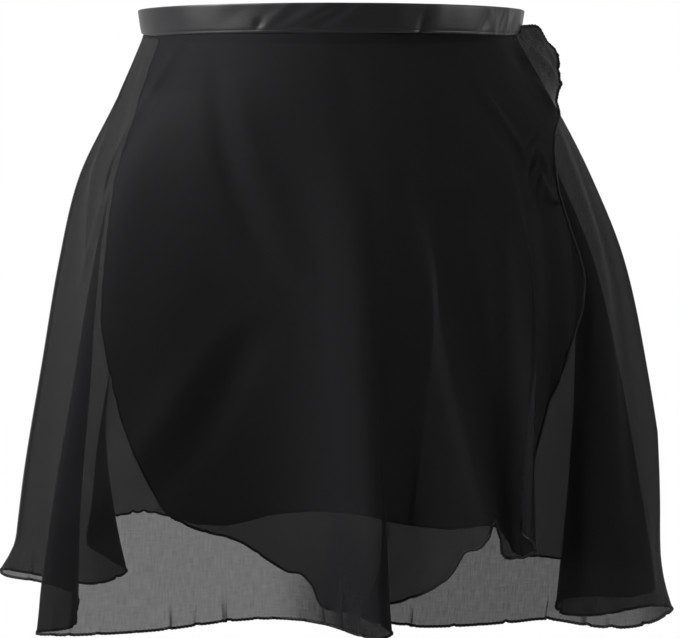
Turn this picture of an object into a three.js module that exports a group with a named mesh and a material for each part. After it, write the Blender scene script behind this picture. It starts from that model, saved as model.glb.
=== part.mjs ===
// Ballet wrap skirt: three chiffon panels and a satin ribbon waist, as worn, wrapped and tied.
// Millimetres, +Z up, front towards -Y. The origin is the middle of the waist at the ribbon's mid height.
import * as THREE from "three";

// Driving sizes
const RIBBON_HEIGHT = 17;
const RIBBON_WALL = 1.2;
const CLOTH_WALL = 1;
const SEAM_GAP = 0.3;
const HEM_LEVEL = -356;
const WAIST_LAP = 2;
const HEM_LAP = 5;
const RIBBON_FLARE = 2;
const RIBBON_COLOUR = 0x303135;
const RIBBON_ROWS = 2;
const TIE_LAP = 3.9;
const TIE_EASE = 0.1;
const KNOT_SIZE = { across: 18, deep: 7, high: 13 };
const KNOT_SEGMENTS = 14;
const KNOT_RINGS = 9;
const TIE_NARROW = 0.55;
const TIE_GATHER_ARC = 25;
const FOLD_START = 0.1;

// How finely the surfaces are sampled
const ROWS = 13;
const HEM_SAMPLES = 720;
const SLOPE_STEP = 0.002;

// Winds are degrees round the waist from the front middle towards the right, counted on along the wrap:
// the under wrap crosses the front first, then comes the back, then the over wrap on its second turn
const FULL_TURN = 360;
const RIGHT_SEAM = 90;
const LEFT_SEAM = 270;
const SEAM_ARC = 0.18;
const UNDER_EDGE_WIND = -60;
const OVER_EDGE_WIND = 417;
const SKEW_REACH = 40;
const RIBBON_END_WIND = 445;
const UNDER_RIBBON_WIND = -62;
const SLOT_WIND = 262;
const SLOT_ARC = 4;
const SLOT_EASE = 0.4;
const RIBBON_STEP_ARC = 6;
const KNOT_WIND = 540;
const KNOT_ARC = 4.1;

// The free top corner of the outer wrap stands off the hip as a small ruffle
const CORNER_REACH = 16;
const CORNER_LIFT_DROP = 0.1;
const CORNER_RUFFLE = [
  { drop: 0, out: 22 },
  { drop: 0.025, out: 19 },
  { drop: 0.06, out: 13.5 },
  { drop: 0.1, out: 7.5 },
  { drop: 0.13, out: 4.5 },
  { drop: 0.18, out: 1 },
  { drop: 0.24, out: 0 },
];
const CORNER_TOP = [
  { near: 0, lift: 0 },
  { near: 0.3, lift: 0 },
  { near: 0.38, lift: 0.3 },
  { near: 0.5, lift: 6.5 },
  { near: 0.62, lift: 7.5 },
  { near: 0.78, lift: 3 },
  { near: 0.9, lift: -3 },
  { near: 1, lift: -7 },
];

// The side folds draw in a little above the hem and kick out at it: mm outwards at each side
const KICK_REACH = 9;
const KICK = [
  { drop: 0.7, left: 0, right: 0 },
  { drop: 0.8, left: 0, right: -4 },
  { drop: 0.9, left: 0, right: -9 },
  { drop: 0.94, left: 0.5, right: -9 },
  { drop: 0.97, left: 4, right: -7.5 },
  { drop: 1, left: 9, right: -5 },
];

// The worn form without folds: half widths and half depths at each share of the drop
const FORM = [
  { drop: 0, left: 118, right: 116, front: 91, back: 92 },
  { drop: 0.12, left: 136, right: 140, front: 97, back: 104 },
  { drop: 0.25, left: 156, right: 160, front: 100, back: 119 },
  { drop: 0.4, left: 167, right: 177, front: 102, back: 129 },
  { drop: 0.6, left: 177, right: 187, front: 103, back: 135 },
  { drop: 0.8, left: 187, right: 193, front: 104, back: 141 },
  { drop: 1.0, left: 194, right: 197, front: 105, back: 150 },
];

// Turns of the hem seen from above, a row for each crest and trough: wind is where the cloth hangs from
const UNDER_TURNS = [
  { wind: -60, x: -150, y: -84 },
  { wind: -45, x: -120, y: -97 },
  { wind: -25, x: -65, y: -92 },
  { wind: -13, x: -31, y: -91 },
  { wind: -8, x: -17, y: -94 },
  { wind: 0, x: 4, y: -102 },
  { wind: 12, x: 34, y: -107 },
  { wind: 20, x: 52, y: -114 },
  { wind: 33, x: 83, y: -111 },
  { wind: 47, x: 110, y: -104 },
  { wind: 55, x: 129, y: -99 },
  { wind: 66, x: 157, y: -114 },
  { wind: 75, x: 178, y: -114 },
  { wind: 82, x: 197, y: -98 },
];
const BACK_TURNS = [
  { wind: 90, x: 213, y: -74 },
  { wind: 95, x: 195, y: -72 },
  { wind: 101, x: 161, y: -90 },
  { wind: 105, x: 140, y: -88 },
  { wind: 109, x: 139, y: -64 },
  { wind: 113, x: 155, y: -50 },
  { wind: 119, x: 188, y: -50 },
  { wind: 124, x: 206, y: -30 },
  { wind: 129, x: 203, y: 2 },
  { wind: 135, x: 186, y: 22 },
  { wind: 143, x: 149, y: 42 },
  { wind: 148, x: 127, y: 52 },
  { wind: 155, x: 124, y: 90 },
  { wind: 162, x: 116, y: 132 },
  { wind: 168, x: 87, y: 122 },
  { wind: 175, x: 48, y: 140 },
  { wind: 182, x: 14, y: 171 },
  { wind: 191, x: -37, y: 173 },
  { wind: 200, x: -77, y: 136 },
  { wind: 206, x: -99, y: 138 },
  { wind: 215, x: -144, y: 174 },
  { wind: 223, x: -175, y: 138 },
  { wind: 234, x: -172, y: 80 },
  { wind: 243, x: -150, y: 36 },
  { wind: 248, x: -137, y: 6 },
  { wind: 254, x: -153, y: -22 },
  { wind: 261, x: -181, y: -8 },
  { wind: 267, x: -205, y: 9 },
  { wind: 270, x: -212, y: 12 },
];
const OVER_TURNS = [
  { wind: 274, x: -209, y: -3 },
  { wind: 281, x: -186, y: -20 },
  { wind: 288, x: -162, y: -46 },
  { wind: 295, x: -156, y: -86 },
  { wind: 300, x: -153, y: -112 },
  { wind: 304, x: -161, y: -120 },
  { wind: 307, x: -173, y: -124 },
  { wind: 310, x: -170, y: -129 },
  { wind: 316, x: -147, y: -130 },
  { wind: 326, x: -103, y: -121 },
  { wind: 335, x: -65, y: -104 },
  { wind: 342, x: -41, y: -98 },
  { wind: 350, x: -19, y: -101 },
  { wind: 355, x: 0, y: -113 },
  { wind: 360, x: 15, y: -132 },
  { wind: 364, x: 28, y: -142 },
  { wind: 367, x: 34, y: -136 },
  { wind: 371, x: 20, y: -127 },
  { wind: 374, x: 9, y: -119 },
  { wind: 378, x: 22, y: -117 },
  { wind: 386, x: 57, y: -125 },
  { wind: 392, x: 82, y: -132 },
  { wind: 395, x: 91, y: -132 },
  { wind: 397.5, x: 100, y: -126 },
  { wind: 400, x: 113, y: -130 },
  { wind: 402.5, x: 122, y: -130 },
  { wind: 404.7, x: 109, y: -123 },
  { wind: 407, x: 113, y: -118 },
  { wind: 411, x: 110, y: -114 },
  { wind: 417, x: 130, y: -115 },
  { wind: 430, x: 182, y: -100 },
  { wind: 450, x: 219, y: -40 },
];
const HEM_TURNS = [...UNDER_TURNS, ...BACK_TURNS, ...OVER_TURNS];

// How late the hem's turns come in on the way down, sideways and in depth: lower where the flutes start high
const FOLD_GROWTH = [
  { wind: -60, across: 0.8, deep: 0.8 },
  { wind: -45, across: 0.9, deep: 0.9 },
  { wind: -25, across: 1.15, deep: 1.15 },
  { wind: 70, across: 1.15, deep: 1.15 },
  { wind: 80, across: 1.15, deep: 1.15 },
  { wind: 95, across: 0.85, deep: 0.8 },
  { wind: 101, across: 1.1, deep: 0.8 },
  { wind: 112, across: 1.1, deep: 0.8 },
  { wind: 120, across: 0.65, deep: 0.8 },
  { wind: 130, across: 0.7, deep: 0.8 },
  { wind: 150, across: 1.05, deep: 1.05 },
  { wind: 215, across: 1.05, deep: 1.05 },
  { wind: 234, across: 1.2, deep: 1 },
  { wind: 243, across: 2, deep: 0.9 },
  { wind: 252, across: 2, deep: 0.8 },
  { wind: 262, across: 0.8, deep: 0.75 },
  { wind: 266, across: 0.8, deep: 0.75 },
  { wind: 310, across: 0.8, deep: 0.75 },
  { wind: 330, across: 1.1, deep: 1.1 },
  { wind: 364, across: 1.15, deep: 1.15 },
  { wind: 366.5, across: 1.2, deep: 1.15 },
  { wind: 369, across: 2.8, deep: 1.15 },
  { wind: 371.5, across: 5, deep: 1.15 },
  { wind: 374, across: 6, deep: 1.15 },
  { wind: 377, across: 4.5, deep: 1.15 },
  { wind: 380, across: 2.4, deep: 1.15 },
  { wind: 383, across: 1.35, deep: 1.15 },
  { wind: 386, across: 1.15, deep: 1.15 },
  { wind: 392, across: 1.15, deep: 1.15 },
  { wind: 450, across: 1.15, deep: 1.15 },
];

// How far down each front panel reaches, from its free edge to where the sweep joins the hem
const OVER_SWEEP = [
  { wind: 417, reach: 0.47 },
  { wind: 414, reach: 0.55 },
  { wind: 411, reach: 0.65 },
  { wind: 408, reach: 0.78 },
  { wind: 404.5, reach: 0.838 },
  { wind: 401, reach: 0.865 },
  { wind: 398, reach: 0.878 },
  { wind: 396.6, reach: 0.865 },
  { wind: 395.6, reach: 0.82 },
  { wind: 394.8, reach: 0.81 },
  { wind: 393.9, reach: 0.84 },
  { wind: 392, reach: 0.857 },
  { wind: 390, reach: 0.864 },
  { wind: 388.6, reach: 0.895 },
  { wind: 387, reach: 0.918 },
  { wind: 381.7, reach: 0.952 },
  { wind: 376, reach: 0.962 },
  { wind: 369, reach: 0.982 },
  { wind: 365, reach: 0.995 },
  { wind: 356, reach: 1 },
];
const UNDER_SWEEP = [
  { wind: -60, reach: 0.5 },
  { wind: -57.2, reach: 0.553 },
  { wind: -53.6, reach: 0.609 },
  { wind: -49.5, reach: 0.667 },
  { wind: -44.8, reach: 0.725 },
  { wind: -40.5, reach: 0.778 },
  { wind: -37.3, reach: 0.816 },
  { wind: -33.5, reach: 0.835 },
  { wind: -29.7, reach: 0.848 },
  { wind: -21.3, reach: 0.868 },
  { wind: -16.3, reach: 0.896 },
  { wind: -11.1, reach: 0.922 },
  { wind: -8.6, reach: 0.923 },
  { wind: -6.9, reach: 0.934 },
  { wind: -5.6, reach: 0.948 },
  { wind: -5, reach: 0.962 },
  { wind: -3.9, reach: 0.978 },
  { wind: -1.4, reach: 0.982 },
  { wind: 2.6, reach: 0.984 },
  { wind: 8, reach: 1 },
];

// How far each front panel's free edge swings round the waist from its own wind, in degrees
const OVER_EDGE = [
  { drop: 0, swing: 31 },
  { drop: 0.06, swing: 20 },
  { drop: 0.12, swing: 11.5 },
  { drop: 0.2, swing: 4 },
  { drop: 0.27, swing: 2 },
  { drop: 0.32, swing: 2.7 },
  { drop: 0.37, swing: 4 },
  { drop: 0.42, swing: 4.8 },
  { drop: 0.47, swing: 3.8 },
  { drop: 0.54, swing: 3.4 },
  { drop: 0.6, swing: 3 },
  { drop: 0.66, swing: 0.6 },
  { drop: 0.72, swing: 0 },
];
const UNDER_EDGE = [
  { drop: 0, swing: -1.5 },
  { drop: 0.3, swing: 0 },
];

const radians = THREE.MathUtils.degToRad;

// The value of one column of a table at a place between its rows, on a smooth curve through them
function along(rows, place, column, at) {
  const rising = rows[rows.length - 1][place] > rows[0][place];
  const ordered = rising ? rows : [...rows].reverse();
  const last = ordered.length - 1;
  if (at <= ordered[0][place]) return ordered[0][column];
  if (at >= ordered[last][place]) return ordered[last][column];
  let i = 0;
  while (ordered[i + 1][place] < at) i += 1;
  const slope = (k) => {
    const before = ordered[Math.max(k - 1, 0)];
    const after = ordered[Math.min(k + 1, last)];
    return (after[column] - before[column]) / (after[place] - before[place]);
  };
  const step = ordered[i + 1][place] - ordered[i][place];
  const s = (at - ordered[i][place]) / step;
  const rise = s * s * (3 - 2 * s);
  const leave = s * (1 - s) * (1 - s) * step;
  const arrive = s * s * (s - 1) * step;
  return (
    ordered[i][column] * (1 - rise) + ordered[i + 1][column] * rise + slope(i) * leave + slope(i + 1) * arrive
  );
}

// A point of the plain worn form, moved out by how many layers lie under it
function formPoint(wind, drop, lap) {
  const angle = radians(wind);
  const side = Math.sin(angle) > 0 ? "right" : "left";
  const face = Math.cos(angle) > 0 ? "front" : "back";
  const halfWidth = along(FORM, "drop", side, drop) + lap;
  const halfDepth = along(FORM, "drop", face, drop) + lap;
  return new THREE.Vector2(halfWidth * Math.sin(angle), -halfDepth * Math.cos(angle));
}

// How far out the wrap lies: 0 on the under wrap, 1 on the over wrap, rising round the back
function layer(wind) {
  return THREE.MathUtils.clamp((wind - RIGHT_SEAM) / (LEFT_SEAM - RIGHT_SEAM), 0, 1);
}

// A point of the wrap: the plain form, with the hem's turns coming in on the way down
function wrapPoint(wind, drop) {
  const lap = THREE.MathUtils.lerp(WAIST_LAP, HEM_LAP, drop) * layer(wind);
  const plain = formPoint(wind, drop, lap);
  const plainHem = formPoint(wind, 1, HEM_LAP * layer(wind));
  const below = Math.max(0, (drop - FOLD_START) / (1 - FOLD_START));
  const across = below ** along(FOLD_GROWTH, "wind", "across", wind);
  const deep = below ** along(FOLD_GROWTH, "wind", "deep", wind);
  const x = plain.x + across * (along(HEM_TURNS, "wind", "x", wind) - plainHem.x);
  const y = plain.y + deep * (along(HEM_TURNS, "wind", "y", wind) - plainHem.y);
  const top = -RIBBON_HEIGHT / 2 - SEAM_GAP;
  const point = new THREE.Vector3(x, y, top + (HEM_LEVEL - top) * drop);
  const out = new THREE.Vector3(Math.sin(radians(wind)), -Math.cos(radians(wind)), 0);
  const side = wind < (RIGHT_SEAM + LEFT_SEAM) / 2 ? "right" : "left";
  const seam = side === "right" ? RIGHT_SEAM : LEFT_SEAM;
  const near = Math.max(0, 1 - Math.abs(wind - seam) / KICK_REACH);
  return point.addScaledVector(out, along(KICK, "drop", side, drop) * near);
}

// A panel's own point, on a line that slants where its free edge does; the over wrap's top corner is ruffled
function panelPoint(panel, line, drop) {
  const wind = skewed(panel, line, drop);
  const point = wrapPoint(wind, drop);
  if (!panel.ruffled) return point;
  const edgeWind = skewed(panel, panel.edge, drop);
  const near = Math.max(0, 1 - (edgeWind - wind) / CORNER_REACH);
  const high = Math.max(0, 1 - drop / CORNER_LIFT_DROP);
  point.x += along(CORNER_RUFFLE, "drop", "out", drop) * near * near;
  point.z += along(CORNER_TOP, "near", "lift", near) * high;
  return point;
}

// The slant of a panel's lines beside its free edge, which swings round the waist on the way down
function skewed(panel, wind, drop) {
  if (panel.edge === null) return wind;
  const near = Math.max(0, 1 - Math.abs(wind - panel.edge) / SKEW_REACH);
  return wind + along(panel.swing, "drop", "swing", drop) * near * near;
}

const PANELS = [
  {
    name: "under_wrap",
    from: UNDER_EDGE_WIND,
    to: RIGHT_SEAM - SEAM_ARC,
    edge: UNDER_EDGE_WIND,
    swing: UNDER_EDGE,
    sweep: UNDER_SWEEP,
    ruffled: false,
    columns: 44,
    colour: 0x17181a,
  },
  {
    name: "back_panel",
    from: RIGHT_SEAM + SEAM_ARC,
    to: LEFT_SEAM - SEAM_ARC,
    edge: null,
    swing: null,
    sweep: null,
    ruffled: false,
    columns: 70,
    colour: 0x141517,
  },
  {
    name: "over_wrap",
    from: LEFT_SEAM + SEAM_ARC,
    to: OVER_EDGE_WIND,
    edge: OVER_EDGE_WIND,
    swing: OVER_EDGE,
    sweep: OVER_SWEEP,
    ruffled: true,
    columns: 72,
    colour: 0x1b1c1f,
  },
];

// Winds evenly spaced along the hem, so that folds get as many columns as their cloth needs
function evenWinds(panel) {
  const length = [0];
  let before = null;
  for (let k = 0; k <= HEM_SAMPLES; k += 1) {
    const wind = panel.from + ((panel.to - panel.from) * k) / HEM_SAMPLES;
    const here = wrapPoint(wind, 1);
    if (before) length.push(length[k - 1] + here.distanceTo(before));
    before = here;
  }
  const winds = [];
  let k = 0;
  for (let column = 0; column <= panel.columns; column += 1) {
    const goal = (length[HEM_SAMPLES] * column) / panel.columns;
    while (k < HEM_SAMPLES - 1 && length[k + 1] < goal) k += 1;
    const part = (goal - length[k]) / (length[k + 1] - length[k]);
    winds.push(panel.from + ((panel.to - panel.from) * (k + part)) / HEM_SAMPLES);
  }
  return winds;
}

// The outward direction of a surface at one place, from the points just beside it
function outwardAt(surface, across, down) {
  const [ahead, behind] = [surface(across + SLOPE_STEP, down), surface(across - SLOPE_STEP, down)];
  const [below, above] = [surface(across, down + SLOPE_STEP), surface(across, down - SLOPE_STEP)];
  return below.sub(above).cross(ahead.sub(behind)).normalize();
}

// A closed wall round a surface, through the given places across it and down it
function wallGeometry(surface, acrosses, downs, wall) {
  const columns = acrosses.length;
  const rows = downs.length;
  const positions = [];
  for (const side of [0.5, -0.5]) {
    for (const across of acrosses) {
      for (const down of downs) {
        const out = outwardAt(surface, across, down);
        const point = surface(across, down).addScaledVector(out, side * wall);
        positions.push(point.x, point.y, point.z);
      }
    }
  }
  const outer = (i, j) => i * rows + j;
  const inner = (i, j) => columns * rows + i * rows + j;
  const faces = [];
  const quad = (a, b, c, d) => faces.push(a, b, c, a, c, d);
  for (let i = 0; i < columns - 1; i += 1) {
    for (let j = 0; j < rows - 1; j += 1) {
      quad(outer(i, j), outer(i, j + 1), outer(i + 1, j + 1), outer(i + 1, j));
      quad(inner(i, j), inner(i + 1, j), inner(i + 1, j + 1), inner(i, j + 1));
    }
    quad(outer(i, 0), outer(i + 1, 0), inner(i + 1, 0), inner(i, 0));
    quad(outer(i, rows - 1), inner(i, rows - 1), inner(i + 1, rows - 1), outer(i + 1, rows - 1));
  }
  for (let j = 0; j < rows - 1; j += 1) {
    quad(outer(0, j), inner(0, j), inner(0, j + 1), outer(0, j + 1));
    quad(outer(columns - 1, j), outer(columns - 1, j + 1), inner(columns - 1, j + 1), inner(columns - 1, j));
  }
  const geometry = new THREE.BufferGeometry();
  geometry.setAttribute("position", new THREE.Float32BufferAttribute(positions, 3));
  geometry.setIndex(faces);
  geometry.computeVertexNormals();
  return geometry;
}

function clothMaterial(colour) {
  return new THREE.MeshStandardMaterial({ color: colour, roughness: 0.8, metalness: 0 });
}

function satinMaterial() {
  return new THREE.MeshStandardMaterial({ color: RIBBON_COLOUR, roughness: 0.35, metalness: 0 });
}

function evenSteps(count) {
  return Array.from({ length: count + 1 }, (_, k) => k / count);
}

function panelMesh(panel) {
  const surface = (wind, down) => {
    const reach = panel.sweep ? along(panel.sweep, "wind", "reach", wind) : 1;
    return panelPoint(panel, wind, reach * down);
  };
  const geometry = wallGeometry(surface, evenWinds(panel), evenSteps(ROWS), CLOTH_WALL);
  const mesh = new THREE.Mesh(geometry, clothMaterial(panel.colour));
  mesh.name = panel.name;
  return mesh;
}

// A point of the waist ribbon: height is from -1 at its lower edge to 1 at its upper edge
function ribbonPoint(wind, height, lap) {
  const ring = formPoint(wind, 0, lap + (RIBBON_FLARE * (height + 1)) / 2);
  return new THREE.Vector3(ring.x, ring.y, (height * RIBBON_HEIGHT) / 2);
}

// How far out each ribbon lies, in stops round the waist
const SLOT_END = SLOT_WIND - SLOT_ARC;
const INSIDE_LAP = WAIST_LAP - RIBBON_WALL - SEAM_GAP - TIE_EASE;
const FLAT_LAPS = [
  { wind: RIGHT_SEAM, lap: 0 },
  { wind: LEFT_SEAM, lap: WAIST_LAP },
];
const TIE_OVER_LAPS = [
  { wind: RIBBON_END_WIND, lap: WAIST_LAP },
  { wind: KNOT_WIND, lap: TIE_LAP },
];
const TIE_UNDER_LAPS = [
  { wind: KNOT_WIND - FULL_TURN, lap: TIE_LAP },
  { wind: SLOT_END + SLOT_EASE, lap: TIE_LAP },
  { wind: SLOT_WIND - SLOT_EASE, lap: INSIDE_LAP },
  { wind: UNDER_RIBBON_WIND + FULL_TURN, lap: 0 },
];

const RIBBONS = [
  { name: "waist_ribbon_under", from: UNDER_RIBBON_WIND, to: RIGHT_SEAM, laps: FLAT_LAPS },
  { name: "waist_ribbon_back", from: RIGHT_SEAM, to: SLOT_END, laps: FLAT_LAPS },
  { name: "waist_ribbon_over", from: SLOT_WIND, to: RIBBON_END_WIND, laps: FLAT_LAPS },
  { name: "tie_over", from: RIBBON_END_WIND, to: KNOT_WIND - KNOT_ARC, laps: TIE_OVER_LAPS },
  {
    name: "tie_under",
    from: KNOT_WIND - FULL_TURN + KNOT_ARC,
    to: UNDER_RIBBON_WIND + FULL_TURN,
    laps: TIE_UNDER_LAPS,
  },
];

// Where a tie nears the knot it gathers to a narrower ribbon
function gathered(wind) {
  const turns = (wind - KNOT_WIND) / FULL_TURN;
  const away = Math.abs(turns - Math.round(turns)) * FULL_TURN;
  return 1 - TIE_NARROW * Math.max(0, 1 - away / TIE_GATHER_ARC) ** 2;
}

// A lap between two of a ribbon's stops, in a straight run
function straightLap(laps, wind) {
  const next = laps.findIndex((stop) => stop.wind >= wind);
  if (next === 0) return laps[0].lap;
  if (next < 0) return laps[laps.length - 1].lap;
  const [before, after] = [laps[next - 1], laps[next]];
  return THREE.MathUtils.mapLinear(wind, before.wind, after.wind, before.lap, after.lap);
}

// Even steps between a ribbon's ends, with a step at each of its stops
function ribbonWinds(ribbon) {
  const from = ribbon.from + SEAM_ARC;
  const to = ribbon.to - SEAM_ARC;
  const inside = ribbon.laps.map((stop) => stop.wind).filter((wind) => wind > from && wind < to);
  const marks = [from, ...inside, to];
  const winds = [from];
  for (let k = 1; k < marks.length; k += 1) {
    const steps = Math.ceil((marks[k] - marks[k - 1]) / RIBBON_STEP_ARC);
    for (let step = 1; step <= steps; step += 1) {
      winds.push(THREE.MathUtils.lerp(marks[k - 1], marks[k], step / steps));
    }
  }
  return winds;
}

function ribbonMesh(ribbon) {
  const tie = ribbon.name.startsWith("tie");
  const surface = (wind, down) => {
    const height = (1 - 2 * down) * (tie ? gathered(wind) : 1);
    return ribbonPoint(wind, height, straightLap(ribbon.laps, wind));
  };
  const geometry = wallGeometry(surface, ribbonWinds(ribbon), evenSteps(RIBBON_ROWS), RIBBON_WALL);
  const mesh = new THREE.Mesh(geometry, satinMaterial());
  mesh.name = ribbon.name;
  return mesh;
}

// The flat knot lies on the back of the waist ribbon
function knotMesh() {
  const geometry = new THREE.SphereGeometry(1, KNOT_SEGMENTS, KNOT_RINGS);
  geometry.scale(KNOT_SIZE.across / 2, KNOT_SIZE.deep / 2, KNOT_SIZE.high / 2);
  const mesh = new THREE.Mesh(geometry, satinMaterial());
  const wind = KNOT_WIND - FULL_TURN;
  const under = ribbonPoint(wind, 0, straightLap(FLAT_LAPS, wind));
  mesh.position.set(under.x, under.y + RIBBON_WALL / 2 + SEAM_GAP + KNOT_SIZE.deep / 2, 0);
  mesh.name = "tie_knot";
  return mesh;
}

const skirt = new THREE.Group();
skirt.name = "ballet_wrap_skirt";
for (const panel of PANELS) skirt.add(panelMesh(panel));
for (const ribbon of RIBBONS) skirt.add(ribbonMesh(ribbon));
skirt.add(knotMesh());

export default skirt;
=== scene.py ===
"""Ballet wrap skirt: sheer chiffon panels with rolled hems on a satin ribbon waist."""
import math
from collections import namedtuple

import bmesh
import bpy
import numpy as np
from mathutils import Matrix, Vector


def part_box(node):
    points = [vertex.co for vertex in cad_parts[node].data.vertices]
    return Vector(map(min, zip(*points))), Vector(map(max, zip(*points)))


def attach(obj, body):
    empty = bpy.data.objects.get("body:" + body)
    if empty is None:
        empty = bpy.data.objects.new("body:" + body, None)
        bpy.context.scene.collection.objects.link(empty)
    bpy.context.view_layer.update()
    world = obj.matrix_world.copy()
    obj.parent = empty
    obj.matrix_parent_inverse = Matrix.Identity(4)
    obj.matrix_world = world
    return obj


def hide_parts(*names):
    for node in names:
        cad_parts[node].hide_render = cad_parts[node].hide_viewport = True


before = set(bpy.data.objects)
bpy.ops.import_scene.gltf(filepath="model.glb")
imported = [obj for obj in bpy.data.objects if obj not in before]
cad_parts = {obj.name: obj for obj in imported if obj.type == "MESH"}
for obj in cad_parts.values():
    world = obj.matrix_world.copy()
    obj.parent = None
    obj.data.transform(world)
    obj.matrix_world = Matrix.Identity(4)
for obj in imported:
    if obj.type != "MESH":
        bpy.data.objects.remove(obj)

bl_info = {
    "name": "Ballet wrap skirt",
    "version": (1, 0, 0),
    "blender": (4, 5, 0),
    "location": "3D view, sidebar, Skirt",
    "description": "Builds a sheer wrap skirt with rolled hems and a satin ribbon waist",
    "category": "Add Mesh",
}

# Lengths are in mm and angles in degrees. A wind is the angle round the waist, from the middle of the front
# through the right side, and goes past a full turn. A drop is a share of the way from the waist to the hem
MM = 0.001
FULL_TURN = 360
RIGHT_SEAM = 90
LEFT_SEAM = 270
RIBBON_HEIGHT = 17
SEAM_GAP = 0.3
TOP = -RIBBON_HEIGHT / 2 - SEAM_GAP
HEM_LEVEL = -356

# How far out the wrap's second layer lies, where the hem's turns begin, how far an edge's slant is felt, and
# how blunt the creases' ends are
WAIST_LAP = 2
HEM_LAP = 5
FOLD_START = 0.1
SKEW_REACH = 40
CREASE_FADE = 0.7

# The loose top corner of the outer wrap: its width, the depth of its lift, and where it leaves the ribbon
CORNER_REACH = 16
CORNER_LIFT_DROP = 0.1
CORNER_TUCK = 0.02
CORNER_HEM_START = 0.35

# How far the cloth goes up into the folded ribbon, and how it bends in just above the ribbon's lower edge
TOP_TUCK = 7
TUCK_IN = 1.6
TUCK_BEND = 1.2

# Small pleats that tight overlocking draws along an edge, each size from its least to its most. Two in three
# stand out, the third goes in, and each lifts the hem by a share of its depth
Pleats = namedtuple("Pleats", "spacing depth height")
HEM_PLEATS = Pleats((5, 28), (0.6, 2.4), (6, 20))
EDGE_PLEATS = Pleats((5, 14), (0.25, 0.8), (5, 12))
EDGE_SEED = 5
PLEAT_WIDTH = (1, 2.6)
PLEAT_LEAN = (-0.9, 0.9)
PLEAT_WAYS = (1, 1, -0.7)
PLEAT_LIFT = 0.5

# How many places a panel's lines are chosen from, and how much closer together they lie at the small pleats,
# the hem and the puckered front edge
SAMPLES_ALONG = 6000
SAMPLES_DOWN = 2000
AT_PLEATS = 2.2
PLEAT_SPAN = 1.5
AT_HEM = 1.6
NEAR_HEM = 0.06
AT_PUCKERS = 0.9
PUCKER_DROP = 0.4
PUCKER_SPAN = 0.25

# What makes the cloth look denser: how far it turns from plain, and the layers of the seam allowances
PLAIN_FACING = 0.85
FACING_STEP = 0.1
SEAM_ALLOWANCE = 2
SEAM_LAYERS = 1

# The folded ribbon: its lean, wall, square edges and stitching, and how its lower edge rises at the sides
RIBBON_FLARE = 2
RIBBON_WALL = 1.2
RIBBON_STEP = 0.6
EDGE_SQUARENESS = 20
STITCH_HEIGHT = -0.8
STITCH_DEPTH = 0.2
STITCH_WIDTH = 0.05
SIDE_LIFT = 4.5
SIDE_LIFT_ARC = 28

# Where the ribbon's stretches start and end, the slot that its under end comes out of, and the ties
RIBBON_END_WIND = 445
UNDER_RIBBON_WIND = -62
SLOT_WIND = 262
SLOT_ARC = 4
SLOT_EASE = 0.4
UNDER_TIE_EASE = 0.1
TIE_LAP = 3.9
TIE_NARROW = 0.55
TIE_GATHER_ARC = 25

# The knot at the middle of the back, and the pleats of the ribbon over it
KNOT_WIND = 540
KNOT_ARC = 4.1
KNOT_FULLNESS = 1.3
KNOT_PLEATS = 3
KNOT_PLEAT_DEPTH = 0.12
KNOT_PLEAT_SLANT = 0.35
KNOT_WAIST = 0.25
KNOT_WAIST_SPAN = 0.35

# The rolled hem: sides of its section, rings for each stitch, and its ridges as a share of its radius
ROLL_SIDES = 8
RINGS_A_STITCH = 3.4
ROLL_RIDGE = 0.18

# The stage, in metres
CAMERA_PLACE = (0.0045, -1.1, -0.05)
CAMERA_TILT = 82.9
SENSOR_WIDTH = 36
FLOOR_PAINT = (0.9, 0.9, 0.9, 1)
WHITE = (1, 1, 1, 1)


def table(columns, *rows):
    """A table with named columns: a list of rows that give each value by its column's name."""
    return [dict(zip(columns.split(), row)) for row in rows]


LIGHTS = table(
    "name place turn size power",
    ("key", (-0.75, -0.4, 0.64), (47, 0, -61), 0.45, 11),
    ("fill", (-1.6, -0.85, 0.05), (87, 0, -62), 1.2, 5),
    ("side", (1.8, -0.6, 0.3), (80, 0, 72), 1.0, 5),
)

# The worn form without folds: half widths and half depths in mm at each share of the drop
FORM = table(
    "drop left right front back",
    (0, 118, 116, 91, 92),
    (0.12, 136, 140, 97, 104),
    (0.25, 156, 160, 100, 119),
    (0.4, 167, 177, 102, 129),
    (0.6, 177, 187, 103, 135),
    (0.8, 187, 193, 104, 141),
    (1.0, 194, 197, 105, 150),
)

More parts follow.
